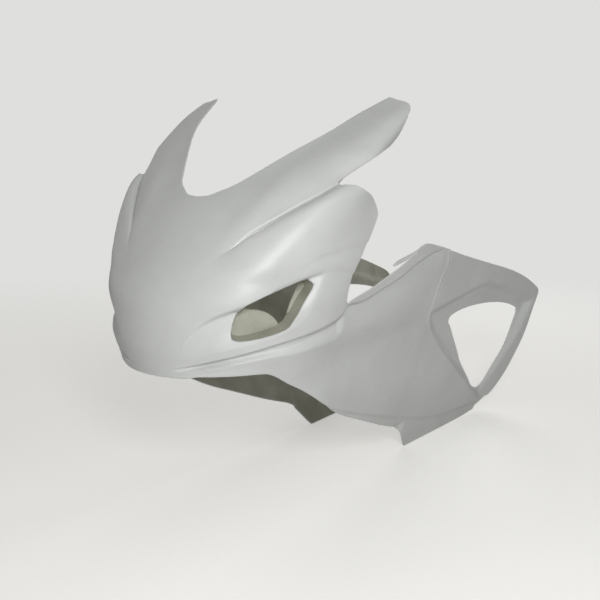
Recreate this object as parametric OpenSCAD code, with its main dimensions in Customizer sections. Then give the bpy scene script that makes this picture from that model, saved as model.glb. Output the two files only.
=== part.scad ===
// One-piece moulded race fairing: nose, screen arms, shoulders and vented side panels.
// +Y points to the rear, +Z up, X across. The origin is the lowest point of the screen cut-out.

/* [Shell] */
// Thickness of the moulded laminate
wall = 3; // [2.6:0.2:4]

/* [Nose and width] */
// Half the width of the nose and shoulders at the level of the screen cut-out
half_w = 202; // [180:1:225]
// Length of the rounded nose from its front to the flat of the side
nose_run = 210; // [185:1:235]
// How far the lower half of the nose reaches ahead of the screen cut-out
nose_reach = 113; // [95:1:135]
// Extra half width of the side panels at their rear end
rear_flare = 34; // [10:1:60]

/* [Screen arms] */
// Height of the arm tips above the bottom of the screen cut-out
arm_rise = 148; // [125:1:165]
// Height of the soft ridge along each arm
arm_ridge = 5; // [2:0.5:8]
// Depth of the groove between arm and shoulder
groove_depth = 8; // [3:1:12]
// How far the shoulder swells out below the groove
shoulder_swell = 14; // [4:1:20]

/* [Intakes] */
// Depth of the scoop that leads into the intake
scoop_depth = 12; // [5:1:18]
// Depth of the walled pocket behind the intake
pocket_depth = 24; // [18:1:30]

/* [Side panels] */
// How far the side panel steps in below the upper body
panel_step = 9; // [4:1:12]
// Depth of the frame pressed in around the side vent
vent_depth = 10; // [5:1:14]
// Radius of the corners of the side vent
vent_corner = 7; // [3:1:12]
// Depth of the step down to the rear of the side panel
border_step = 4; // [2:0.5:6]
// Height of the crease that stands along the side panel
crease_rise = 3; // [1:0.5:5]

/* [Hidden] */
white = [0.86, 0.87, 0.87];

// A smooth curve through rows of [key, value], level beyond its ends
function seg(c, q, i = 0) = i >= len(c) - 2 || q < c[i + 1][0] ? i : seg(c, q, i + 1);
function rise(c, i) = (c[i + 1][1] - c[i][1]) / (c[i + 1][0] - c[i][0]);
function slope(c, i) =
    i == 0 ? rise(c, 0) :
    i == len(c) - 1 ? rise(c, i - 1) :
    rise(c, i - 1) * rise(c, i) <= 0 ? 0 :
    2 * rise(c, i - 1) * rise(c, i) / (rise(c, i - 1) + rise(c, i));
function hermite(a, b, ma, mb, t) =
    (1 + 2 * t) * pow(1 - t, 2) * a + t * pow(1 - t, 2) * ma
    + t * t * (3 - 2 * t) * b - t * t * (1 - t) * mb;
function along(c, q) =
    q <= c[0][0] ? c[0][1] :
    q >= c[len(c) - 1][0] ? c[len(c) - 1][1] :
    let (i = seg(c, q), w = c[i + 1][0] - c[i][0])
    hermite(c[i][1], c[i + 1][1], w * slope(c, i), w * slope(c, i + 1), (q - c[i][0]) / w);
function smooth(t) = let (u = min(1, max(0, t))) u * u * (3 - 2 * u);
function mix(a, b, t) = a + (b - a) * t;

// Nose profile in side view, as [height, distance from the screen cut-out]
FRONT = [[-280, 20 - nose_reach], [-240, 6 - nose_reach], [-200, -nose_reach], [-150, 3 - nose_reach],
         [-100, 22 - nose_reach], [-50, -52], [0, 0], [14, 16], [34, 42], [58, 74], [84, 111], [110, 150],
         [145, 213], [160, 236]];
// Half width against height, as a share of half_w
WIDE = [[-500, 0.495], [-420, 0.60], [-340, 0.72], [-280, 0.77], [-240, 0.83], [-200, 0.925],
        [-160, 0.98], [-120, 1.005], [-60, 1.01], [0, 1.01], [60, 1], [160, 0.985]];
// How far the section stands out beyond an ellipse, and the share of nose_run, against height
CROWN = [[-110, 0], [-40, 0.12], [60, 0.3]];
RUN = [[-80, 1], [60, 0.667]];
// Share of the rear flare against height
FLARE = [[-500, 0.5], [-400, 1], [-250, 0.75], [-150, 0]];
// Where the flare of the side panels starts and ends
flare_from = 60;
panel_end = 850;
// Length of side to each unit of s behind the nose, where s counts round the nose from 0 to 1
side_run = 210;
end_s = 4.8;

function front(z) = along(FRONT, z);
function flare(y, z) =
    let (t = (y - flare_from) / (panel_end - flare_from))
    rear_flare * along(FLARE, z) * min(1, (t + sqrt(t * t + 0.003)) / 2);
function run(z) = nose_run * along(RUN, z);
// The smooth body: s runs round the nose from 0 to 1 and then straight back
function body(s, z) =
    let (a = 90 * min(1, s), y = front(z) + run(z) * (1 - cos(a)) + side_run * max(0, s - 1),
         x = (half_w * along(WIDE, z) + flare(y, z)) * sin(a))
    [x * (1 + along(CROWN, z) * pow(sin(2 * a), 2)), y, z];
// The s of a place on the side
function s_at(y, z) = 1 + (y - front(z) - run(z)) / side_run;
// Unit vector into the body, from a small step each way along it and up it
function inward(s, z) =
    let (e = 0.01, m = 2, p = s < e ? [0, body(0, z)[1], z] : body(s - e, z), q = body(s + e, z),
         n = cross(body(s, z + m) - body(s, z - m), s < e ? [1, 0, 0] : q - p))
    n / norm(n);

// Heights above the screen cut-out grow with the arms
function lift(z) = z * (z > 0 ? arm_rise / 148 : 1);
// Guide lines, as [s, height]: the edge of the screen cut-out and the arms
TOP = [[0, 0], [0.06, lift(2)], [0.11, lift(9)], [0.16, lift(18)], [0.22, lift(38)],
       [0.28, lift(62)], [0.37, lift(96)], [0.43, lift(126)], [0.49, lift(147)], [0.6, lift(156)],
       [0.9, lift(156)], [1.15, lift(10)], [1.35, -60], [2, -50], [2.5, -52], [end_s, -180]];
GROOVE = [[0, -88], [0.2, -82], [0.31, -62], [0.35, -44], [0.4, -28], [0.47, -6], [0.52, lift(7)],
          [0.57, lift(21)], [0.62, lift(31)], [0.7, lift(38)], [0.8, lift(39)], [0.95, lift(28)], [1.1, 0],
          [1.35, -80], [2, -62], [2.5, -64], [end_s, -192]];
BROW = [[0, -222], [0.2, -210], [0.23, -189], [0.29, -165], [0.37, -151], [0.46, -141], [0.53, -130],
        [0.6, -118], [0.69, -108], [0.8, -101], [1.1, -114], [1.35, -106], [2, -76], [2.5, -76],
        [end_s, -204]];
CHEEK = [[0, -228], [0.2, -219], [0.3, -211], [0.44, -201], [0.57, -192], [0.7, -179], [0.82, -150],
         [1.1, -134], [1.45, -122], [2, -90], [2.5, -86], [end_s, -214]];
LIP = [[0, -238], [0.19, -231], [0.31, -223], [0.49, -210], [0.66, -197], [0.76, -191], [0.86, -185],
       [0.98, -173], [1.04, -155], [1.19, -157], [1.45, -147], [1.71, -135], [1.96, -116], [2.25, -105],
       [2.5, -102], [2.85, -117], [3.51, -149], [end_s, -232]];
PANEL_TOP = [[0, -241], [0.19, -235], [0.31, -231], [0.49, -220], [0.67, -210], [0.77, -205],
             [0.87, -195], [0.99, -183], [1.07, -166], [1.19, -166], [1.45, -156], [1.71, -144],
             [1.96, -125], [2.25, -113], [2.5, -110], [2.85, -126], [3.51, -158], [end_s, -242]];
LOWER = [[0, -247], [0.2, -247], [0.31, -243], [0.55, -243], [0.62, -244], [0.66, -248], [0.75, -269],
         [0.88, -296], [1.01, -322], [1.3, -354], [1.55, -375], [1.9, -404], [2.3, -440], [2.6, -496],
         [end_s, -496]];
// Soft ridge along the arm and crease along the shoulder
ARM_RIDGE = [[0.2, -40], [0.3, -6], [0.39, lift(34)], [0.48, lift(66)], [0.56, lift(94)],
             [0.63, lift(117)]];
SHOULDER_CREASE = [[0.6, -96], [0.65, -92], [0.73, -79], [0.84, -73], [0.98, -69]];

// How strongly a feature shows along the body
function groove_on(s) = smooth((s - 0.28) / 0.22) * smooth((1.3 - s) / 0.2);
function shoulder_on(s) = smooth((s - 0.25) / 0.35) * smooth((1.3 - s) / 0.2);
function step_on(s) =
    smooth((s - 0.1) / 0.15) * mix(1, 0.6, smooth((s - 1.05) / 0.3)) * (1 - smooth((s - 2.1) / 0.3));

// Inward depth across each band, by the share f of the way down the band
function shoulder_relief(s, f, z) =
    groove_depth * groove_on(s) * along([[0, 0], [0.05, 1], [0.1, 0]], f)
    - shoulder_swell * shoulder_on(s) * along([[0.05, 0], [0.1, 0.7], [0.2, 1], [0.5, 0.8], [1, 0.1]], f)
    + shoulder_crease * smooth((s - 0.62) / 0.1)
      * along([[-14, 0], [0, 1], [6, 0]], z - along(SHOULDER_CREASE, s));
shoulder_crease = 1.2;
function arm_relief(s, z) =
    -arm_ridge * smooth((s - 0.2) / 0.15)
    * along([[-60, 0], [0, 1], [60, 0]], z - along(ARM_RIDGE, s));
function intake_relief(s, f) =
    scoop_depth * smooth((s - 0.19) / 0.3) * smooth((0.81 - s) / 0.07)
    * along([[0, 0], [0.12, 1], [0.5, 0.75], [0.85, 0.2], [1, 0]], f);
function step_relief(s, f) = panel_step * step_on(s) * along([[0, 0], [0.35, 1], [1, 0.8]], f);
function panel_relief(s, f, y, z) =
    step_relief(s, 1) * (1 - smooth(f / 0.14))
    - crease_rise * smooth((430 - y) / 60)
      * along([[-60, 0], [0, 1], [50, 0]], z - along(BODY_CREASE, y))
    + flange_step * smooth((along(FLANGE, y) - z) / 6) * smooth((y - 90) / 60)
    + border_step * smooth((y - along(BORDER, z)) / 6)
    + vent_depth * smooth(frame_inset(y, z) / 20);
flange_step = 4;
// Crease along the side panel and line above its bottom flange, as [y, height]
BODY_CREASE = [[60, -312], [126, -306], [152, -304], [287, -279], [316, -275], [410, -253],
               [480, -240]];
FLANGE = [[80, -303], [116, -320], [176, -345], [368, -408], [535, -450], [708, -463]];
// Step down to the rear of the side panel, as [height, y]
BORDER = [[-460, 700], [-421, 642], [-359, 542], [-302, 467], [-257, 412], [-214, 379], [-171, 390],
          [-127, 415], [-90, 416]];
// Corners of the frame pressed in around the side vent, as [y, height]
FRAME = [[386, -217], [552, -191], [605, -189], [852, -264], [691, -442], [648, -426],
         [472, -303], [417, -258]];
// Distance of a point inside the frame from its nearest side
function frame_inset(y, z) =
    min([for (i = [0:len(FRAME) - 1])
        let (a = FRAME[i], b = FRAME[(i + 1) % len(FRAME)], e = b - a)
        ((y - a[0]) * e[1] - (z - a[1]) * e[0]) / norm(e)]);

BANDS = [TOP, GROOVE, BROW, CHEEK, LIP, PANEL_TOP, LOWER];
SHARES = [[0, 0.33, 0.67], [0, 0.05, 0.1, 0.2, 0.4, 0.7], [0, 0.12, 0.35, 0.6, 0.82],
          [0, 0.5], [0, 0.35],
          [0, 0.06, 0.14, 0.22, 0.31, 0.4, 0.49, 0.58, 0.67, 0.76, 0.85, 0.93]];
ROWS = concat([for (b = [0:5]) for (f = SHARES[b]) [b, f]], [[5, 1]]);
COLS = concat([for (s = [0:0.08:0.32]) s], [for (s = [0.38:0.045:1.1]) s], [for (s = [1.25:0.25:2]) s],
              [for (s = [2.15:0.12:4.1]) s], [4.3, 4.55, end_s]);
SIDES = concat([for (i = [len(COLS) - 1:-1:1]) -COLS[i]], COLS);
// Rows and columns of the pocket behind the intake
POCKET_ROWS = concat([[1, 0.85], [1, 0.93]], [for (b = [2, 3]) for (f = SHARES[b]) [b, f]], [[4, 0]]);
POCKET_COLS = [for (s = [0.36:0.05:0.86]) s];

function relief(b, f, s, y, z) =
    b == 0 ? arm_relief(s, z) :
    b == 1 ? shoulder_relief(s, f, z) + arm_relief(s, z) * (1 - smooth(f / 0.1)) :
    b == 2 ? intake_relief(s, f) :
    b == 4 ? step_relief(s, f) :
    b == 5 ? panel_relief(s, f, y, z) : 0;
function skin_point(row, side, t) =
    let (s = abs(side), b = row[0], f = row[1],
         z = mix(along(BANDS[b], s), along(BANDS[b + 1], s), f), p = body(s, z),
         q = p + inward(s, z) * (relief(b, f, s, p[1], z) + t))
    [side < 0 ? -q[0] : side == 0 ? 0 : q[0], q[1], q[2]];

// The solid between two depths under the outer face, over the given rows and columns
module layer(rows, cols, from, to) {
    n = len(cols);
    m = len(rows);
    points = [for (t = [from, to]) for (r = rows) for (s = cols) skin_point(r, s, t)];
    function at(t, i, j) = (t * m + i) * n + j;
    outer = [for (i = [0:m - 2]) for (j = [0:n - 2])
        each [[at(0, i, j), at(0, i, j + 1), at(0, i + 1, j + 1)],
              [at(0, i, j), at(0, i + 1, j + 1), at(0, i + 1, j)]]];
    inner = [for (i = [0:m - 2]) for (j = [0:n - 2])
        each [[at(1, i, j), at(1, i + 1, j + 1), at(1, i, j + 1)],
              [at(1, i, j), at(1, i + 1, j), at(1, i + 1, j + 1)]]];
    ends = [for (i = [0:m - 2]) each [
        [at(0, i, 0), at(0, i + 1, 0), at(1, i, 0)], [at(1, i, 0), at(0, i + 1, 0), at(1, i + 1, 0)],
        [at(0, i, n - 1), at(1, i, n - 1), at(0, i + 1, n - 1)],
        [at(1, i, n - 1), at(1, i + 1, n - 1), at(0, i + 1, n - 1)]]];
    rims = [for (j = [0:n - 2]) each [
        [at(0, 0, j), at(1, 0, j), at(0, 0, j + 1)], [at(1, 0, j), at(1, 0, j + 1), at(0, 0, j + 1)],
        [at(0, m - 1, j), at(0, m - 1, j + 1), at(1, m - 1, j)],
        [at(1, m - 1, j), at(0, m - 1, j + 1), at(1, m - 1, j + 1)]]];
    polyhedron(points, concat(outer, inner, ends, rims), convexity = 12);
}

// Outline of the trimmed moulding in side view, as [y, height]: ahead of the nose, arm end, shoulder
TRIM = [[-260, -320], [-260, 260], [254, 260], [254, 134], [250, 127], [240, 119], [224, 97],
        [221, 86], [202, 71], [179, 66], [139, 53], [106, 36], [82, 22], [93, 23], [103, 19], [120, 11],
        [136, 3], [149, -8], [159, -24], [146, -53], [128, -85], [115, -106], [104, -131], [103, -156],
        // panel top edge and rear edge
        [123, -149], [163, -142], [217, -127], [277, -111], [295, -99], [324, -90], [341, -89], [394, -102],
        [497, -132], [629, -164], [724, -190], [830, -232], [852, -245], [858, -258], [844, -293],
        [807, -359], [785, -421], [758, -464], [693, -488], [607, -490],
        // bottom corner, ahead of which the lower guide line is the edge
        [454, -490], [433, -490], [394, -468], [385, -449], [378, -433], [330, -430], [250, -430],
        [100, -350]];
// Corner posts of the side vent, as [y, height]
VENT = [[494, -258], [534, -243], [660, -251], [765, -276], [752, -318], [710, -382], [682, -416],
        [654, -410], [579, -353], [530, -292]];
// Corner posts of the intake and of the two halves of the way through its pocket, as [s, height]
INTAKE = [[0.455, -148], [0.6, -121], [0.69, -112], [0.74, -114], [0.735, -135], [0.715, -153],
          [0.685, -169], [0.62, -178], [0.53, -184], [0.465, -185], [0.448, -178]];
THROUGH = [[[0.475, -149], [0.6, -123], [0.69, -115], [0.73, -117], [0.72, -148], [0.62, -153],
            [0.55, -151]],
           [[0.73, -120], [0.71, -154], [0.68, -173], [0.65, -165], [0.62, -152]]];
intake_corner = 3;
// Cutters start clear of the centre and run out through the side
cut_from = 60;
cut_run = half_w;
// Mounting tongue: the ends of its root under the panel top edge, as [y, height], and the lean of its tip
TONGUE = [[284, -108], [298, -106]];
tongue_lean = [-12, -18, -20];
// Middle of the wall at a place in side view between the trimmed edge and the lip line
function edge_point(side, y, z) =
    let (s = s_at(y, z), top = along(CHEEK, s))
    skin_point([3, (top - z) / (top - along(LIP, s))], side * s, wall / 2);

module side_view() {
    rotate([90, 0, 90]) linear_extrude(2 * (half_w + cut_from), center = true)
        polygon([for (p = TRIM) [p[0], lift(p[1])]]);
}
module posts(side, places, r) {
    hull() for (p = places)
        translate([side * cut_from, p[0], p[1]]) rotate([0, side * 90, 0])
            cylinder(r = r, h = cut_run, $fn = 24);
}
module intake_posts(side, places, r) {
    posts(side, [for (p = places) [body(p[0], p[1])[1], p[1]]], r);
}
// Walled pocket behind the intake, open through its upper rear part
module pocket(side) {
    difference() {
        intersection() {
            layer(POCKET_ROWS, side_cols(side), wall / 3, pocket_depth + wall);
            intake_posts(side, INTAKE, intake_corner + wall);
        }
        intersection() {
            layer(POCKET_ROWS, side_cols(side), -pocket_depth, pocket_depth);
            intake_posts(side, INTAKE, intake_corner);
        }
        for (places = THROUGH) intake_posts(side, places, intake_corner);
    }
}
function side_cols(side) =
    side > 0 ? POCKET_COLS : [for (i = [len(POCKET_COLS) - 1:-1:0]) -POCKET_COLS[i]];
module tongue(side) {
    hull() for (k = TONGUE, lean = [[0, 0, 0], tongue_lean]) {
        p = edge_point(side, k[0], k[1]);
        translate(p + [side * lean[0], lean[1], lean[2]]) cube(wall, center = true);
    }
}
module fairing_shell() {
    color(white) {
        difference() {
            intersection() {
                layer(ROWS, SIDES, 0, wall);
                side_view();
            }
            for (side = [-1, 1]) {
                posts(side, VENT, vent_corner);
                intake_posts(side, INTAKE, intake_corner);
            }
        }
        for (side = [-1, 1]) {
            pocket(side);
            tongue(side);
        }
    }
}
fairing_shell();
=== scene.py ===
# %% [markdown]
# A race fairing is one thin moulding: white gelcoat sprayed into a mould, with glass-fibre laminate laid behind it.
# This lesson builds it as one surface with thickness, lights it plainly, and stands the camera where the
# photographer stood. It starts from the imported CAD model, which fixes the size and the place.
# %% Load the frame
import bmesh, bpy
import numpy as np
from math import radians
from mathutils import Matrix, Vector


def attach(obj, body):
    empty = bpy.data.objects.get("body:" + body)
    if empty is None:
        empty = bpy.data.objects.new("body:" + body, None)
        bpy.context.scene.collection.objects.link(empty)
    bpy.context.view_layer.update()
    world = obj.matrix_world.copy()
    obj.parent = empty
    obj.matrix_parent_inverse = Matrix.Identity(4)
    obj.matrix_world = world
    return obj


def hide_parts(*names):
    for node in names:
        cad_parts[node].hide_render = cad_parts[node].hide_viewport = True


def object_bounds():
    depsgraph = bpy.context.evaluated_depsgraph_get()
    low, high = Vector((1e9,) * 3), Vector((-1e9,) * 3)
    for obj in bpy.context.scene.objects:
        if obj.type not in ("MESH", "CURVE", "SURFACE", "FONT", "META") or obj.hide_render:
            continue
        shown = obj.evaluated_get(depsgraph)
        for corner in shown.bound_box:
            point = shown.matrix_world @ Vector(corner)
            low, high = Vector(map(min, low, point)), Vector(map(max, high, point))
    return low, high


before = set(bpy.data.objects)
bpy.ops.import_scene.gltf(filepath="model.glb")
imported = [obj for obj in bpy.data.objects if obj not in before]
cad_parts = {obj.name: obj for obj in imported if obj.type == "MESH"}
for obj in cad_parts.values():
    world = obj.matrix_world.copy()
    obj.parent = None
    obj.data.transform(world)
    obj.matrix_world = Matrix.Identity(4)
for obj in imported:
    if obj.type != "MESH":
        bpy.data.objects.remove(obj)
cad_box = [list(corner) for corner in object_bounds()]
MM = 0.001
NODE = "fairing_shell"
print("CAD box in metres:", cad_box)

# %% [markdown]
# The camera comes from left and right pairs of features that must mirror each other: only one place of the camera
# lets them. It stands about 1.4 m from the nose, turned 36 degrees from straight ahead, and looks down by 11.
# %% Camera
SENSOR_MM, LENS_MM = 36, 57
LOOK_DOWN, TURN = 11.17, 36.475
camera = bpy.data.objects.new("camera", bpy.data.cameras.new("camera"))
camera.data.sensor_width = SENSOR_MM
camera.data.lens = LENS_MM
camera.location = Vector((953.9, -1033.4, 121.1)) * MM
camera.rotation_euler = (radians(90 - LOOK_DOWN), 0, radians(TURN))
bpy.context.collection.objects.link(camera)
bpy.context.scene.camera = camera
print("camera at", tuple(round(c, 3) for c in camera.location))

# %% [markdown]
# The moulding is drawn with curves that pass through a few heights or stations and stay smooth between them.
# The slope at each point is the harmonic mean of its two neighbours, so a curve never overshoots its table. Reliefs
# start and stop along soft steps: one helper rises over a length, and one falls to its end.
# %% Smooth curves through tables
def curve(table):
    x, y = np.array(table, float).T
    step = np.diff(x)
    grade = np.diff(y) / step
    a, b = grade[:-1], grade[1:]
    same = a * b > 0
    inner = np.where(same, 2 * a * b / np.where(same, a + b, 1), 0)
    slope = np.concatenate([grade[:1], inner, grade[-1:]])
    def at(q):
        q = np.clip(q, x[0], x[-1])
        i = np.clip(np.searchsorted(x, q, side="right") - 1, 0, len(x) - 2)
        w, t = step[i], (q - x[i]) / step[i]
        return ((1 + 2 * t) * (1 - t) ** 2 * y[i] + t * (1 - t) ** 2 * w * slope[i]
                + t * t * (3 - 2 * t) * y[i + 1] - t * t * (1 - t) * w * slope[i + 1])
    return at

def smooth(t):
    t = np.clip(t, 0, 1)
    return t * t * (3 - 2 * t)

def rising(value, start, length):
    return smooth((value - start) / length)

def falling(value, end, length):
    return smooth((end - value) / length)

def mix(a, b, t):
    return a + (b - a) * t

print("half way up a smooth step:", smooth(0.5))

# %% [markdown]
# The smooth body under all the detail is a blunt nose that runs into two nearly flat sides. s counts round the
# nose from 0 on the centre plane to 1 at the side, and then goes straight back. All sizes here are millimetres.
# %% The smooth body
HALF_W, NOSE_RUN, SIDE_RUN, REACH, FLARE_MAX = 201.7, 210, 210, 112.4, 34
FLARE_START, FLARE_LENGTH, FLARE_EASE = 60, 790, 0.003
NEAR_S, NEAR_Z = 0.01, 2
front = curve([(-280, 20 - REACH), (-240, 6 - REACH), (-200, -REACH), (-150, 3 - REACH), (-100, 22 - REACH),
               (-50, -52), (0, 0), (14, 16), (34, 42), (58, 74), (84, 111), (110, 150), (145, 213), (160, 236)])
width = curve([(-500, 0.495), (-420, 0.60), (-340, 0.72), (-280, 0.77), (-240, 0.83), (-200, 0.925), (-160, 0.98),
               (-120, 1.005), (-60, 1.01), (0, 1.01), (60, 1), (160, 0.985)])
crown = curve([(-110, 0), (-40, 0.12), (60, 0.3)])
run = curve([(-80, NOSE_RUN), (60, 0.667 * NOSE_RUN)])
flare_share = curve([(-500, 0.5), (-400, 1), (-250, 0.75), (-150, 0)])

def body(s, z):
    a = np.radians(90 * np.minimum(1, s))
    y = front(z) + run(z) * (1 - np.cos(a)) + SIDE_RUN * np.maximum(0, s - 1)
    t = (y - FLARE_START) / FLARE_LENGTH
    flare = FLARE_MAX * flare_share(z) * np.minimum(1, (t + np.sqrt(t * t + FLARE_EASE)) / 2)
    x = (HALF_W * width(z) + flare) * np.sin(a) * (1 + crown(z) * np.sin(2 * a) ** 2)
    return np.stack([x, y, z], -1)

def inward(s, z):
    back = body(np.maximum(s - NEAR_S, 0), z)
    back[..., 0] = np.where(s < NEAR_S, -body(s + NEAR_S, z)[..., 0], back[..., 0])
    n = np.cross(body(s, z + NEAR_Z) - body(s, z - NEAR_Z), body(s + NEAR_S, z) - back)
    return n / np.linalg.norm(n, axis=-1, keepdims=True)

print("nose point at the level of the cut-out:", body(np.array(0.0), np.array(0.0)))

# %% [markdown]
# Guide lines cross the moulding from the centre plane to the rear end. Between two of them lies one band of
# detail: the arm, the shoulder, the intake's scoop, the cheek, the step under the lip, the side panel. v counts the
# bands from the top, and a row of the mesh keeps its share of its band, so creases stay crisp all the way along.
# %% Guide lines, as (s, height)
END = 4.8
TOP = curve([(0, 0), (0.06, 2), (0.11, 9), (0.16, 18), (0.22, 38), (0.28, 62), (0.37, 96), (0.43, 126),
             (0.49, 147), (0.6, 156), (0.9, 156), (1.15, 10), (1.35, -60), (2, -50), (2.5, -52), (END, -180)])
GROOVE = curve([(0, -88), (0.2, -82), (0.31, -62), (0.35, -44), (0.4, -28), (0.47, -6), (0.52, 7), (0.57, 21),
                (0.62, 31), (0.7, 38), (0.8, 39), (0.95, 28), (1.1, 0), (1.35, -80), (2, -62), (2.5, -64),
                (END, -192)])
BROW = curve([(0, -222), (0.2, -210), (0.23, -189), (0.29, -165), (0.37, -151), (0.46, -141), (0.53, -130),
              (0.6, -118), (0.69, -108), (0.8, -101), (1.1, -114), (1.35, -106), (2, -76), (2.5, -76),
              (END, -204)])
CHEEK = curve([(0, -228), (0.2, -219), (0.3, -211), (0.44, -201), (0.57, -192), (0.7, -179), (0.82, -150),
               (1.1, -134), (1.45, -122), (2, -90), (2.5, -86), (END, -214)])
LIP = curve([(0, -238), (0.19, -231), (0.31, -223), (0.49, -210), (0.66, -197), (0.76, -191), (0.86, -185),
             (0.98, -173), (1.04, -155), (1.19, -157), (1.45, -147), (1.71, -135), (1.96, -116), (2.25, -105),
             (2.5, -102), (2.85, -117), (3.51, -149), (END, -232)])
PANEL_TOP = curve([(0, -241), (0.19, -235), (0.31, -231), (0.49, -220), (0.67, -210), (0.77, -205), (0.87, -195),
                   (0.99, -183), (1.07, -166), (1.19, -166), (1.45, -156), (1.71, -144), (1.96, -125),
                   (2.25, -113), (2.5, -110), (2.85, -126), (3.51, -158), (END, -242)])
LOWER = curve([(0, -247), (0.2, -247), (0.31, -243), (0.55, -243), (0.62, -244), (0.66, -248), (0.75, -268),
               (0.88, -294), (1.01, -321), (1.3, -356), (1.55, -378), (1.9, -408), (2.3, -442), (2.6, -496),
               (END, -496)])
GUIDES = [TOP, GROOVE, BROW, CHEEK, LIP, PANEL_TOP, LOWER]
LAST_BAND = len(GUIDES) - 2
V_END = LAST_BAND + 1 - 1e-9

def height(s, v):
    lines = np.stack([line(s) for line in GUIDES])
    band = np.clip(v.astype(int), 0, LAST_BAND)
    cell = tuple(np.indices(band.shape))
    return mix(lines[(band,) + cell], lines[(band + 1,) + cell], v - band)

print("guide lines:", len(GUIDES))

# %% [markdown]
# Each band presses its own relief into the smooth body. First come the lines in side view that a relief follows,
# and the frame pressed in round the vent. Then come the profiles across them, each a curve between -1 and 1.
# %% Lines and profiles of the reliefs
BODY_CREASE = curve([(60, -312), (126, -306), (152, -304), (287, -279), (316, -275), (410, -253), (480, -240)])
FLANGE = curve([(80, -303), (116, -320), (176, -345), (368, -408), (535, -450), (708, -463)])
BORDER = curve([(-460, 700), (-421, 642), (-359, 542), (-302, 467), (-257, 412), (-214, 379), (-171, 390),
                (-127, 415), (-90, 416)])
FRAME = np.array([(386, -217), (552, -191), (605, -189), (852, -264), (691, -442), (648, -426), (472, -303),
                  (417, -258)], float)
ARM_RIDGE = curve([(0.2, -40), (0.3, -6), (0.39, 34), (0.48, 66), (0.56, 94), (0.63, 117)])
SHOULDER_CREASE = curve([(0.6, -96), (0.65, -92), (0.73, -79), (0.84, -73), (0.98, -69)])
groove_line = curve([(0, 0), (0.035, 1), (0.07, 0)])
shoulder_line = curve([(0.05, 0), (0.1, 0.7), (0.2, 1), (0.5, 0.8), (1, 0.1)])
crease_line = curve([(-14, 0), (0, 1), (6, 0)])
scoop_line = curve([(0, 0), (0.12, 1), (0.5, 0.75), (0.85, 0.2), (1, 0)])
step_line = curve([(0, 0), (0.6, 1), (1, 0.95)])
edge_line = curve([(-9, 0), (0, -1), (7, 1), (16, 0)])
ridge_line = curve([(-60, 0), (0, 1), (50, 0)])
arm_line = curve([(-60, 0), (0, 1), (60, 0)])

def frame_inset(y, z):
    sides = []
    for a, b in zip(FRAME, np.roll(FRAME, -1, 0)):
        e = (b - a) / np.linalg.norm(b - a)
        sides.append((y - a[0]) * e[1] - (z - a[1]) * e[0])
    return np.min(sides, 0)

print("corners of the vent's frame:", len(FRAME))

# %% [markdown]
# The relief is a depth in millimetres, straight inward along the body's normal. Every step has a slope of its own,
# as a mould needs draft to let the part go. Each term starts and ends softly, so no relief stops at a hard line.
# %% Relief of each band, in millimetres inward
ARM_RISE, GROOVE_DEPTH, SHOULDER_RISE, CREASE_DEPTH = 5, 8, 14, 1.2
SCOOP_DEPTH, STEP_DEPTH, STEP_LEFT, BODY_RISE, LOWER_RISE = 12, 9, 0.95, 3, 0.6
FLANGE_DEPTH, BORDER_DEPTH, BEAD, FRAME_DEPTH, TAB_DEPTH = 4, 4, 1.4, 12, 5

def relief(v, s, y, z):
    f = v - np.floor(v)
    fade = falling(s, 1.3, 0.2)
    arm = -ARM_RISE * rising(s, 0.2, 0.15) * arm_line(z - ARM_RIDGE(s))
    shoulder = (arm * (1 - rising(f, 0, 0.1)) + GROOVE_DEPTH * rising(s, 0.28, 0.22) * fade * groove_line(f)
                - SHOULDER_RISE * rising(s, 0.25, 0.35) * fade * shoulder_line(f)
                + CREASE_DEPTH * crease_line(z - SHOULDER_CREASE(s)) * rising(s, 0.62, 0.1))
    scoop = SCOOP_DEPTH * rising(s, 0.19, 0.3) * falling(s, 0.81, 0.07) * scoop_line(f)
    step = STEP_DEPTH * rising(s, 0.13, 0.22) * mix(1, 0.6, rising(s, 1.05, 0.3)) * (1 - rising(s, 2.1, 0.3))
    panel = (STEP_LEFT * step * (1 - rising(f, 0, 0.2))
             - BODY_RISE * ridge_line(z - BODY_CREASE(y)) * falling(y, 430, 60)
             + FLANGE_DEPTH * falling(z, FLANGE(y), 5) * rising(y, 90, 60)
             + BORDER_DEPTH * rising(y, BORDER(z), 6) + BEAD * edge_line(y - BORDER(z))
             + FRAME_DEPTH * rising(frame_inset(y, z), 0, 20)
             + TAB_DEPTH * falling(y, 404, 12) * falling(z, -425, 10)
             - LOWER_RISE * rising(f, 0.6, 0.3) * rising(s, 0.2, 0.1) * (1 - rising(s, 0.5, 0.2)))
    band = np.minimum(v.astype(int), LAST_BAND)
    return np.select([band == 0, band == 1, band == 2, band == 4, band == 5],
                     [arm, shoulder, scoop, step * step_line(f), panel], 0)

def surface(s, v, inset=0):
    v = np.minimum(v, V_END)
    z = height(s, v)
    p = body(s, z)
    return p + inward(s, z) * (relief(v, s, p[..., 1], z) + inset)[..., None]

print("deepest relief round the intake:", round(float(relief(np.array([2.12]), np.array([0.6]), 0, 0)[0]), 1), "mm")

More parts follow.
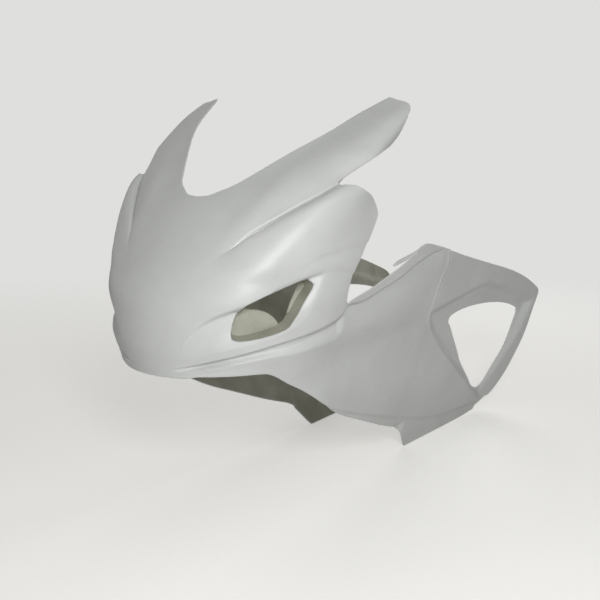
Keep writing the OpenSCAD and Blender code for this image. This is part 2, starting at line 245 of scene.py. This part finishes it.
# %% [markdown]
# A real fairing leaves its mould with a ragged rim and is trimmed to a scribed line, and the vent and intakes are
# cut out. The intake and the way through its pocket are laid out on the skin itself, as (s, height).
# %% Trim line and vent in side view, as (y, height)
TRIM = [(-260, -320), (-260, 260), (251, 260), (251, 150), (251, 134), (248, 127), (240, 119), (224, 97),
        (221, 86), (202, 71), (179, 66), (139, 53), (106, 36), (84, 22), (93, 22), (103, 19), (120, 11),
        (136, 4), (150, -9), (159, -23), (158, -30), (146, -53), (128, -85), (115, -106), (104, -131),
        (103, -156), (123, -149), (163, -142), (217, -127), (277, -111), (295, -99), (324, -90), (341, -89),
        (394, -102), (497, -132), (629, -164), (724, -190), (830, -232), (854, -244), (859, -258), (844, -293),
        (807, -359), (785, -421), (758, -464), (693, -488), (607, -490), (454, -490), (433, -490), (394, -468),
        (385, -449), (378, -433), (330, -430), (250, -430), (100, -350)]
VENT = [(500, -257), (498, -249), (511, -243), (551, -238), (615, -240), (679, -247), (740, -259), (781, -273),
        (793, -279), (794, -286), (788, -298), (771, -326), (745, -361), (720, -390), (697, -422), (690, -428),
        (668, -426), (641, -414), (612, -388), (582, -360), (535, -295), (514, -268)]
INTAKE = [(0.456, -142.4), (0.527, -130.2), (0.606, -118.7), (0.689, -109.5), (0.73, -108.5), (0.772, -114),
          (0.773, -124), (0.743, -149.1), (0.705, -168.6), (0.689, -176.5), (0.628, -183.5), (0.541, -189),
          (0.498, -190.5), (0.462, -190.8), (0.428, -186.5), (0.43, -160.4)]
THROUGH = [(0.46, -148), (0.53, -134), (0.61, -122), (0.69, -113), (0.745, -112), (0.741, -133.8), (0.722, -153.6),
           (0.689, -181), (0.68, -180), (0.659, -171.3), (0.635, -164.5), (0.602, -157.6), (0.558, -153.7),
           (0.515, -152)]
print("places on the trim line:", len(TRIM), "and round the vent:", len(VENT))

# %% [markdown]
# A signed distance to each outline, less than zero inside it, says where the sheet is cut. Cutting the corners of an
# outline once or twice rounds it as a file does. The cut stays back by the bow of the filed edge, which is added
# later. On the skin, one unit of s is about 330 mm long, so both directions of the intake's outline are millimetres.
# %% Where the sheet is cut
ON_SKIN = 330
RIM = 1.2
LAP = 1
INTAKE_BEFORE = 1.2
FAR_OFF, TINY = 1e9, 1e-12

def rounded(points, times):
    p = np.array(points, float)
    for _ in range(times):
        q = np.roll(p, -1, 0)
        p = np.stack([mix(p, q, 0.25), mix(p, q, 0.75)], 1).reshape(-1, 2)
    return p

def outside(polygon, y, z):
    best, inside = np.full(y.shape, FAR_OFF), np.zeros(y.shape, bool)
    for (ay, az), (by, bz) in zip(polygon, np.roll(polygon, -1, 0)):
        ey, ez = by - ay, bz - az
        t = np.clip(((y - ay) * ey + (z - az) * ez) / (ey * ey + ez * ez + TINY), 0, 1)
        best = np.minimum(best, np.hypot(y - ay - t * ey, z - az - t * ez))
        if bz != az:
            inside ^= ((az > z) != (bz > z)) & (y < ay + (z - az) * ey / ez)
    return np.where(inside, -best, best)

trim_line, vent_line = rounded(TRIM, 2), rounded(VENT, 1)
intake_edge = rounded([(ON_SKIN * s, z) for s, z in INTAKE], 1)
through_edge = rounded([(ON_SKIN * s, z) for s, z in THROUGH], 1)

def cut_skin(s, v):
    y, z = np.moveaxis(surface(s, v)[..., 1:], -1, 0)
    intake, vent = -outside(intake_edge, ON_SKIN * s, height(s, v)), -outside(vent_line, y, z)
    return np.maximum(outside(trim_line, y, z), np.where(s < INTAKE_BEFORE, intake, vent)) + RIM

def cut_pocket(s, v):
    x, z = ON_SKIN * s, height(s, v)
    return np.maximum(outside(intake_edge, x, z) - LAP, RIM - outside(through_edge, x, z))

print("corners on the rounded trim line:", len(trim_line))

# %% [markdown]
# The sheet is a grid of rows and columns over one half of the fairing. A cell that an outline crosses is cut to a
# polygon. The crossing on each of its edges is found by halving, on the true surface, so the cut edge comes out
# smooth.
# %% Cut a grid along an outline
HALVINGS = 10

def cut_sheet(rows, columns, cut):
    S, V = np.meshgrid(columns, rows)
    g = cut(S, V)
    places, faces, index, crossed = [], [], {}, []
    def corner(c):
        if c not in index:
            index[c] = len(places)
            places.append((columns[c[1]], rows[c[0]]))
        return index[c]
    def cross(a, b):
        key = (a, b) if g[a] < 0 else (b, a)
        if key not in index:
            index[key] = len(places)
            places.append((columns[key[0][1]], rows[key[0][0]]))
            crossed.append((index[key], columns[key[1][1]], rows[key[1][0]]))
        return index[key]
    for i, j in zip(*np.nonzero((g[:-1, :-1] < 0) | (g[1:, :-1] < 0) | (g[:-1, 1:] < 0) | (g[1:, 1:] < 0))):
        ring = [(i, j), (i, j + 1), (i + 1, j + 1), (i + 1, j)]
        face = []
        for a, b in zip(ring, ring[1:] + ring[:1]):
            if g[a] < 0:
                face.append(corner(a))
            if (g[a] < 0) != (g[b] < 0):
                face.append(cross(a, b))
        faces.append(face)
    places, crossed = np.array(places), np.array(crossed)
    at = crossed[:, 0].astype(int)
    within, beyond = places[at], crossed[:, 1:]
    for _ in range(HALVINGS):
        middle = (within + beyond) / 2
        kept = (cut(*middle.T) < 0)[:, None]
        within, beyond = np.where(kept, middle, within), np.where(kept, beyond, middle)
    places[at] = within
    return places, faces

print("a crossing is found within 1 part in", 2 ** HALVINGS, "of a cell")

# %% [markdown]
# Rows lie closest across the groove of the shoulder, and columns where the skin bends or is cut. The laminate's
# face at the back is rough and plain, so every second row and column is enough for it.
# %% Rows and columns of one half
ROWS = {0: 24, 1: 36, 2: 32, 3: 8, 4: 10, 5: 76}
GROOVE_ROWS = 1 + np.linspace(0.009, 0.09, 8)
COLUMNS = [(0, 1.35, 108), (1.35, 2.2, 38), (2.2, 3.7, 114), (3.7, END, 50)]
BACK_PITCH = 2

def rows_of(bands):
    return np.concatenate([b + np.arange(n) / n for b, n in bands.items()] + [[max(bands) + 1]])

skin_rows = np.union1d(rows_of(ROWS), GROOVE_ROWS)
skin_columns = np.concatenate([np.linspace(a, b, n, endpoint=False) for a, b, n in COLUMNS] + [[END]])
places, faces = cut_sheet(skin_rows, skin_columns, cut_skin)
back_places, back_faces = cut_sheet(skin_rows[::BACK_PITCH], skin_columns[::BACK_PITCH], cut_skin)
print("sheet of one half:", len(places), "points,", len(faces), "faces")

# %% [markdown]
# Laminate of even thickness follows the gelcoat face, and the filed edge between them is slightly round. So the
# sheet is copied inward by the wall, and a bowed strip of four facets joins the two rims all the way round.
# %% Give the sheet its wall and its filed edge
WALL = 3.0
EDGE_STEPS = 4

def mirrored(places, faces, inset=0):
    points = surface(*places.T, inset=inset)
    centre = places[:, 0] < TINY
    points[centre, 0] = 0
    twin = np.arange(len(points))
    twin[~centre] = len(points) + np.arange((~centre).sum())
    points = np.vstack([points, points[~centre] * (-1, 1, 1)])
    return points, [face[::-1] for face in faces] + [[int(twin[k]) for k in face] for face in faces]

def border(faces):
    edges = {edge for face in faces for edge in zip(face, face[1:] + face[:1])}
    return sorted(edge for edge in edges if edge[::-1] not in edges)

def reach_out(top, bottom, rim):
    a, b = np.array(rim).T
    reach = np.zeros_like(top)
    for k in (a, b):
        np.add.at(reach, k, np.cross(top[b] - top[a], (top - bottom)[k]))
    return reach / (np.linalg.norm(reach, axis=1, keepdims=True) + TINY)

def filed_edge(outer, inner, rim):
    reach = reach_out(outer, inner, rim)
    keys = np.array(sorted({k for edge in rim for k in edge}))
    index = {k: i for i, k in enumerate(keys)}
    steps = np.arange(EDGE_STEPS + 1) / EDGE_STEPS
    points = np.vstack([mix(outer[keys], inner[keys], t) + reach[keys] * RIM * np.sin(np.pi * t) for t in steps])
    strip = [[n * len(keys) + index[b], n * len(keys) + index[a], (n + 1) * len(keys) + index[a],
              (n + 1) * len(keys) + index[b]] for a, b in rim for n in range(EDGE_STEPS)]
    return points, strip

outer, sheet = mirrored(places, faces)
inner, _ = mirrored(places, faces, inset=WALL)
back, back_sheet = mirrored(back_places, back_faces, inset=WALL)
rim = border(sheet)
edge_points, edge_faces = filed_edge(outer, inner, rim)
print("edges round the rims:", len(rim))

# %% [markdown]
# Behind each intake the moulding turns in as a walled pocket, and its floor is open at the upper rear, where the
# air duct goes on. The floor is cut from the same skin, set deeper, and laps a little way into the walls.
# %% Floor of the pocket behind the intake
POCKET = 24
FLOOR_ROWS = {1: 36, 2: 36, 3: 8}
FLOOR_TOP, FLOOR_BOTTOM = 1.8, 3.9
pocket_rows = rows_of(FLOOR_ROWS)
pocket_rows = pocket_rows[(pocket_rows > FLOOR_TOP) & (pocket_rows < FLOOR_BOTTOM)]
pocket_places, pocket_faces = cut_sheet(pocket_rows, np.arange(0.38, 0.82, 0.01), cut_pocket)
pocket_faces = [face[::-1] for face in pocket_faces]
floor_top = surface(*pocket_places.T, inset=POCKET)
floor_back = surface(*pocket_places.T, inset=POCKET + WALL)
mouth_points, mouth_faces = filed_edge(floor_top, floor_back, border(pocket_faces))
print("pocket floor:", len(pocket_faces), "faces")

# %% [markdown]
# The walls follow the intake's edge all the way round and go in as deep as the floor. Rings of points follow the
# edge's outline inward, each deeper than the one before, and come back out a wall's thickness away. The strip between
# the two deepest rings closes the inner end. A place on the skin is found from its height by halving.
# %% Walls of the pocket
EYE_PITCH, WALL_RINGS = 3, 10
SHARE_HALVINGS = 40

def spaced(polygon, gap):
    ends = np.roll(polygon, -1, 0)
    steps = [max(1, int(np.linalg.norm(b - a) / gap)) for a, b in zip(polygon, ends)]
    return np.vstack([mix(a, b, (np.arange(n) / n)[:, None]) for a, b, n in zip(polygon, ends, steps)])

def share_at(s, z):
    low, high = np.zeros_like(s), np.full_like(s, V_END)
    for _ in range(SHARE_HALVINGS):
        middle = (low + high) / 2
        above = height(s, middle) > z
        low, high = np.where(above, middle, low), np.where(above, high, middle)
    return low

def ring_at(outline, depth):
    s = outline[:, 0] / ON_SKIN
    return surface(s, share_at(s, outline[:, 1]), inset=depth)

eye = spaced(intake_edge, EYE_PITCH)
along_eye = np.roll(eye, -1, 0) - np.roll(eye, 1, 0)
outward = np.stack([along_eye[:, 1], -along_eye[:, 0]], 1) / np.linalg.norm(along_eye, axis=1, keepdims=True)
if outside(intake_edge, *(eye + outward).T).mean() < 0:
    outward = -outward
depths = np.linspace(WALL / 2, POCKET + WALL, WALL_RINGS)
rings = [ring_at(eye, d) for d in depths] + [ring_at(eye + outward * WALL, d) for d in depths[::-1]]
count = len(eye)
wall_points = np.vstack(rings)
wall_faces = [[n * count + k, n * count + (k + 1) % count, (n + 1) * count + (k + 1) % count, (n + 1) * count + k]
              for n in range(len(rings) - 1) for k in range(count)]
print("pocket walls:", len(wall_faces), "faces")

# %% [markdown]
# Lists of points and faces are easy to join, and to mirror across the centre plane. The pocket's floor, its back,
# the edge of the way through and the walls become one list, on both sides.
# %% Join the pocket's parts
def joined(parts):
    points, faces, start = [], [], 0
    for part_points, part_faces in parts:
        points.append(part_points)
        faces += [[start + k for k in face] for face in part_faces]
        start += len(part_points)
    return np.vstack(points), faces

def both_sides(points, faces):
    return joined([(points, faces), (points * (-1, 1, 1), [face[::-1] for face in faces])])

pocket = joined([both_sides(floor_top, pocket_faces), both_sides(floor_back, [face[::-1] for face in pocket_faces]),
                 both_sides(mouth_points, mouth_faces), both_sides(wall_points, wall_faces)])
print("pocket faces:", len(pocket[1]))

# %% [markdown]
# A small tongue stands on each panel's top edge and leans forward and in, where the screen's bracket clips on. It is
# the skin drawn tight round four small balls, two in its root and two in its tip, so its edges come out round.
# %% Mounting tongues
TONGUE_ROOT = [(295, -103), (308, -98.5)]
TONGUE_LEAN = (-10, -46, -13)
TONGUE_RADIUS = 2

def tongue(roots, lean, radius):
    y, z = np.array(roots, float).T
    s = 1 + (y - front(z) - run(z)) / SIDE_RUN
    root = surface(s, share_at(s, z), inset=WALL / 2)
    turn, tilt = np.meshgrid(np.radians(np.arange(0, 360, 30)), np.radians([-60, -30, 0, 30, 60]))
    ball = [np.cos(turn) * np.cos(tilt), np.sin(turn) * np.cos(tilt), np.sin(tilt)]
    ball = np.stack(ball, -1).reshape(-1, 3) * radius
    cloud = bmesh.new()
    for place in np.vstack([root, root + lean]):
        for point in place + ball:
            cloud.verts.new(point)
    hull = bmesh.ops.convex_hull(cloud, input=cloud.verts)
    buried = [v for v in hull["geom_interior"] if isinstance(v, bmesh.types.BMVert)]
    bmesh.ops.delete(cloud, geom=buried, context="VERTS")
    bmesh.ops.recalc_face_normals(cloud, faces=cloud.faces)
    cloud.verts.index_update()
    points = np.array([v.co for v in cloud.verts])
    faces = [[v.index for v in face.verts] for face in cloud.faces]
    cloud.free()
    return points, faces

tongues = both_sides(*tongue(TONGUE_ROOT, TONGUE_LEAN, TONGUE_RADIUS))
print("tongues:", len(tongues[1]), "faces")

# %% [markdown]
# Colours are written as sRGB hex, as a paint chart gives them, and one function turns them to linear light.
# A second small function adds a shader node with its settings and links.
# %% Colour and node helpers
def linear(hex_code):
    srgb = [int(hex_code[i:i + 2], 16) / 255 for i in (1, 3, 5)]
    return [c / 12.92 if c <= 0.04045 else ((c + 0.055) / 1.055) ** 2.4 for c in srgb] + [1]

def new_material(name):
    material = bpy.data.materials.new(name)
    material.use_nodes = True
    material.node_tree.nodes.clear()
    return material

def add(owner, kind, inputs=None, links=None, **settings):
    tree = owner.node_tree
    node = tree.nodes.new(kind)
    for key, value in settings.items():
        setattr(node, key, value)
    for key, value in (inputs or {}).items():
        node.inputs[key].default_value = value
    for key, socket in (links or {}).items():
        tree.links.new(socket, node.inputs[key])
    return node

print("white gelcoat in linear light:", [round(c, 3) for c in linear("#D9DBD9")])

# %% [markdown]
# Gelcoat is pigmented polyester resin, sprayed half a millimetre thick into a polished mould, so its face is
# smooth with a soft sheen, IOR about 1.56. Trimming dust and handling dull it in patches about 110 mm across, and
# the glass behind it prints through as a faint waviness. Specks of dust lie about 7 mm apart.
# %% White polyester gelcoat, moulded
PATCHES, SPECKS = 9.0, 140.0  # in one metre
WAVE_DEPTH, SPECK_DEPTH = 0.0006, 0.0002
gelcoat = new_material("polyester_gelcoat")
where = add(gelcoat, "ShaderNodeTexCoord").outputs["Object"]
patches = add(gelcoat, "ShaderNodeTexNoise", {"Scale": PATCHES, "Detail": 5.0, "Roughness": 0.6}, {"Vector": where})
dust = add(gelcoat, "ShaderNodeTexNoise", {"Scale": SPECKS, "Detail": 4.0}, {"Vector": where})
tone = add(gelcoat, "ShaderNodeValToRGB", links={"Fac": patches.outputs["Fac"]})
for stop, place, white in zip(tone.color_ramp.elements, (0.3, 0.7), ("#D3D5D3", "#DEE0DF")):
    stop.position, stop.color = place, linear(white)
dull = add(gelcoat, "ShaderNodeMapRange", {"To Min": 0.34, "To Max": 0.5}, {"Value": patches.outputs["Fac"]})
wave = add(gelcoat, "ShaderNodeBump", {"Strength": 0.25, "Distance": WAVE_DEPTH}, {"Height": patches.outputs["Fac"]})
fine = add(gelcoat, "ShaderNodeBump", {"Strength": 0.08, "Distance": SPECK_DEPTH},
           {"Height": dust.outputs["Fac"], "Normal": wave.outputs["Normal"]})
shade = add(gelcoat, "ShaderNodeBsdfPrincipled", {"IOR": 1.56},
            {"Base Color": tone.outputs["Color"], "Roughness": dull.outputs["Result"],
             "Normal": fine.outputs["Normal"]})
add(gelcoat, "ShaderNodeOutputMaterial", links={"Surface": shade.outputs["BSDF"]})
print("made", gelcoat.name)

# %% [markdown]
# Behind the gelcoat lies chopped glass mat wetted with resin: a matt, grey-green face with fibre bundles about
# 1 mm wide and 50 mm long. They are drawn 4 mm apart, coarser than they are, so that they still show from a metre
# away. The resin pools in darker and lighter clouds about 45 mm across.
# %% Glass-fibre laminate, hand laid
BUNDLES, POOLS = 260.0, 22.0  # in one metre
BUNDLE_DEPTH = 0.0008
# In the intake pockets this laminate's darker grey is partly real laminate and partly painted shade.
laminate_and_pocket_shade = new_material("glass_mat_laminate_and_pocket_shade")
where = add(laminate_and_pocket_shade, "ShaderNodeTexCoord").outputs["Object"]
mat = add(laminate_and_pocket_shade, "ShaderNodeTexVoronoi", {"Scale": BUNDLES}, {"Vector": where}, feature="F1")
resin = add(laminate_and_pocket_shade, "ShaderNodeTexNoise", {"Scale": POOLS, "Detail": 6.0}, {"Vector": where})
tone = add(laminate_and_pocket_shade, "ShaderNodeValToRGB", links={"Fac": resin.outputs["Fac"]})
# These greys also colour the intake pockets, where they are partly painted shade.
for stop, place, grey in zip(tone.color_ramp.elements, (0.3, 0.7), ("#9C9C8E", "#B6B6A8")):
    stop.position, stop.color = place, linear(grey)
rough = add(laminate_and_pocket_shade, "ShaderNodeBump", {"Strength": 0.5, "Distance": BUNDLE_DEPTH},
            {"Height": mat.outputs["Distance"]})
shade = add(laminate_and_pocket_shade, "ShaderNodeBsdfPrincipled", {"IOR": 1.52, "Roughness": 0.62},
            {"Base Color": tone.outputs["Color"], "Normal": rough.outputs["Normal"]})
add(laminate_and_pocket_shade, "ShaderNodeOutputMaterial", links={"Surface": shade.outputs["BSDF"]})
print("made", laminate_and_pocket_shade.name)

# %% [markdown]
# The real fairing is one piece of two layers, so it is one object with two materials. The gelcoat has the outer
# sheet, the filed edge and the tongues, and the laminate has the back and the pockets, where its darker grey is
# partly painted shade. It rides on the one body and stands for the CAD solid.
# %% The one moulding: gelcoat outside, laminate inside, partly painted shade in the pockets
def add_piece(name, points, faces, materials):
    mesh = bpy.data.meshes.new(name)
    mesh.from_pydata([tuple(p * MM) for p in points], [], faces)
    mesh.validate()
    mesh.polygons.foreach_set("use_smooth", [True] * len(mesh.polygons))
    piece = bpy.data.objects.new(name, mesh)
    bpy.context.collection.objects.link(piece)
    for material in materials:
        mesh.materials.append(material)
    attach(piece, "root")
    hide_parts(NODE)
    return piece

gel_part = joined([(outer, sheet), (edge_points, edge_faces), tongues])
# The pockets take the laminate's darker grey: partly real laminate, partly painted shade.
laminate_and_pocket_shade_part = joined([(back, [face[::-1] for face in back_sheet]), pocket])
moulding_points, moulding_faces = joined([gel_part, laminate_and_pocket_shade_part])
shell = add_piece("fairing_moulding", moulding_points, moulding_faces, [gelcoat, laminate_and_pocket_shade])
kind = np.zeros(len(shell.data.polygons), int)
kind[len(gel_part[1]):] = 1
shell.data.polygons.foreach_set("material_index", kind)
triangles = sum(len(p.vertices) - 2 for p in shell.data.polygons)
print("moulding:", len(shell.data.vertices), "points,", triangles, "triangles")
print("box in millimetres:", moulding_points.min(0).round(1), moulding_points.max(0).round(1))

# %% [markdown]
# The studio is a sheet of pale matt paper that fades with distance into a pale background. To the camera it looks
# brighter than it lights the part, so the part keeps its shade and the paper keeps the part's shadow.
# %% Floor
PALE, PAPER = linear("#DFDFDD"), linear("#ECEBE8")
LIFT = 0.42
FADE_FROM, FADE_TO = 0.9, 2.6  # metres from the origin
paper = new_material("matt_paper")
rays = add(paper, "ShaderNodeLightPath")
shade = add(paper, "ShaderNodeBsdfPrincipled", {"Base Color": PAPER, "Roughness": 0.9})
lift = add(paper, "ShaderNodeEmission", {"Color": PAPER, "Strength": LIFT})
lit = add(paper, "ShaderNodeAddShader", links={0: shade.outputs["BSDF"], 1: lift.outputs["Emission"]})
where = add(paper, "ShaderNodeTexCoord").outputs["Object"]
away = add(paper, "ShaderNodeVectorMath", links={0: where}, operation="LENGTH")
far = add(paper, "ShaderNodeMapRange", {"From Min": FADE_FROM, "From Max": FADE_TO}, {"Value": away.outputs["Value"]},
          interpolation_type="SMOOTHSTEP")
haze = add(paper, "ShaderNodeEmission", {"Color": PALE})
lit = add(paper, "ShaderNodeMixShader",
          links={"Fac": far.outputs["Result"], 1: lit.outputs["Shader"], 2: haze.outputs["Emission"]})
seen = add(paper, "ShaderNodeMixShader",
           links={"Fac": rays.outputs["Is Camera Ray"], 1: shade.outputs["BSDF"], 2: lit.outputs["Shader"]})
add(paper, "ShaderNodeOutputMaterial", links={"Surface": seen.outputs["Shader"]})

HALF_FLOOR = 8
floor_z = cad_box[0][2] - 0.5 * MM
floor_mesh = bpy.data.meshes.new("floor")
floor_mesh.from_pydata([(x, y, floor_z) for y in (-HALF_FLOOR, HALF_FLOOR) for x in (-HALF_FLOOR, HALF_FLOOR)], [],
                       [(0, 1, 3, 2)])
floor_mesh.materials.append(paper)
floor = bpy.data.objects.new("floor", floor_mesh)
bpy.context.collection.objects.link(floor)
print("floor at", round(floor_z, 4))

# %% [markdown]
# A small soft key stands just above the camera, to its right, and models the nose and the lip. A broad weak fill
# comes from the right, and a broad back lamp from behind, on the far side, lights the laminate.
# %% Lamps
def add_light(name, place, aim, size, power):
    data = bpy.data.lights.new(name, "AREA")
    data.size, data.energy = size, power
    lamp = bpy.data.objects.new(name, data)
    lamp.location = place
    lamp.rotation_euler = (Vector(aim) - Vector(place)).to_track_quat("-Z", "Y").to_euler()
    bpy.context.collection.objects.link(lamp)

add_light("key", (1.15, -1.0, 0.45), (0.05, 0.1, -0.2), 0.4, 13.8)
add_light("fill", (2.2, -0.4, 1.2), (0, 0.3, -0.2), 1.6, 0.8)
add_light("back", (-0.7, 2.6, 1.0), (0, 0.3, -0.2), 1.5, 16)
print("lamps: key, fill and back")

# %% [markdown]
# The world gives a dim even light, so that the lamps' shading stays. The camera, and glossy and clear rays, see
# it as the pale background instead.
# %% World
DIM = 0.21
world = bpy.data.worlds.new("studio")
bpy.context.scene.world = world
world.use_nodes = True
world.node_tree.nodes.clear()
rays = add(world, "ShaderNodeLightPath").outputs
seen = add(world, "ShaderNodeMath", links={0: rays["Is Camera Ray"], 1: rays["Is Glossy Ray"]}, operation="MAXIMUM")
seen = add(world, "ShaderNodeMath", links={0: seen.outputs["Value"], 1: rays["Is Transmission Ray"]},
           operation="MAXIMUM")
dim = add(world, "ShaderNodeBackground", {"Color": linear("#F2F2F0"), "Strength": DIM})
pale = add(world, "ShaderNodeBackground", {"Color": PALE, "Strength": 1.0})
sky = add(world, "ShaderNodeMixShader",
          links={"Fac": seen.outputs["Value"], 1: dim.outputs["Background"], 2: pale.outputs["Background"]})
add(world, "ShaderNodeOutputWorld", links={"Surface": sky.outputs["Shader"]})
bpy.context.scene.view_settings.view_transform = "Standard"
print("world strength:", DIM)
